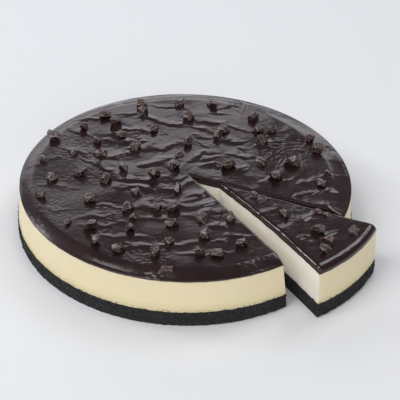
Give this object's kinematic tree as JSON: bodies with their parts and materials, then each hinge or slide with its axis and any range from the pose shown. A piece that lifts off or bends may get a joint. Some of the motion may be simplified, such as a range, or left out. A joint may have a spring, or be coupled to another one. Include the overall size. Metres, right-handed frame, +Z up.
{
  "type": "chocolate topped baked cheesecake",
  "caption": "Round baked cheesecake on a cocoa crumb base, spread with dark ganache and chopped chocolate, with a wedge cut free and slid part way out of its notch.",
  "frame": {"origin": "centre of the uncut cake's round underside, on the surface that it stands on", "axes": "+Z up; +Y towards the back of the cake; the notch and its slice open towards +X and -Y"},
  "size_m": [0.2675, 0.255, 0.0527],
  "materials": {
    "cocoa_crumb": "pressed dark biscuit crumb, matt and grainy",
    "baked_filling": "smooth ivory baked cream, soft satin",
    "dark_ganache": "glossy dark chocolate spread with knife waves",
    "chopped_chocolate": "broken dark chocolate, semi-matt with pale scuffed edges"
  },
  "bodies": {
    "root": {"crust_base": "cocoa_crumb", "filling": "baked_filling", "ganache": "dark_ganache", "slice_crust": "cocoa_crumb", "slice_filling": "baked_filling", "slice_ganache": "dark_ganache"}
  },
  "joints": []
}
